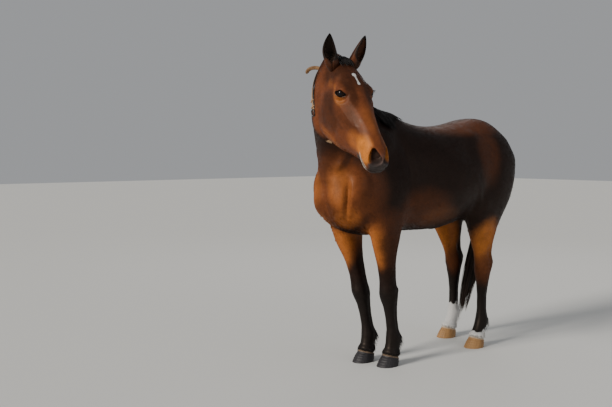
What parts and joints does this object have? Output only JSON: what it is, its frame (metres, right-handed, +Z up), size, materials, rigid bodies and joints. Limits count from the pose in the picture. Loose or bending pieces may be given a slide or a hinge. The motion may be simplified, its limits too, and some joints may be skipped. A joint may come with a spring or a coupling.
{
  "type": "horse",
  "caption": "Standing bay horse with its head turned to its left, square in front, hind feet apart, wearing a buckled leather neck strap.",
  "frame": {"origin": "middle of the model's box, at the ground", "axes": "+Z up, the body faces -Y and the horse's left side is at +X"},
  "size_m": [0.9308, 1.962, 2.0065],
  "materials": {
    "coat_bay": "short glossy bay coat, redder on the chest and cheeks, tan at the muzzle, flank and gaskin",
    "coat_black": "short glossy black coat of the points",
    "hair": "long black hair with a dull sheen",
    "eye": "wet dark brown eye",
    "horn_dark": "dark grey horn, faintly ringed",
    "horn_pale": "pale striped horn",
    "leather": "worn tan leather, dark on the inside",
    "dark_steel": "blackened steel, rubbed at the edges",
    "brass": "polished brass"
  },
  "bodies": {
    "root": {"foreleg_left": "coat_black", "hoof_fore_left": "horn_dark", "foreleg_right": "coat_black", "hoof_fore_right": "horn_dark", "hindleg_left": "coat_bay", "hoof_hind_left": "horn_pale", "hindleg_right": "coat_bay", "hoof_hind_right": "horn_pale", "head": "coat_bay", "neck": "coat_bay", "trunk": "coat_bay", "ear_left": "coat_black", "eye_left": "eye", "ear_right": "coat_black", "eye_right": "eye", "tail": "hair", "mane": "hair", "forelock": "hair", "strap": "leather", "strap_end": "leather", "buckle": "dark_steel", "buckle_tongue": "dark_steel", "ring": "brass"}
  },
  "joints": []
}
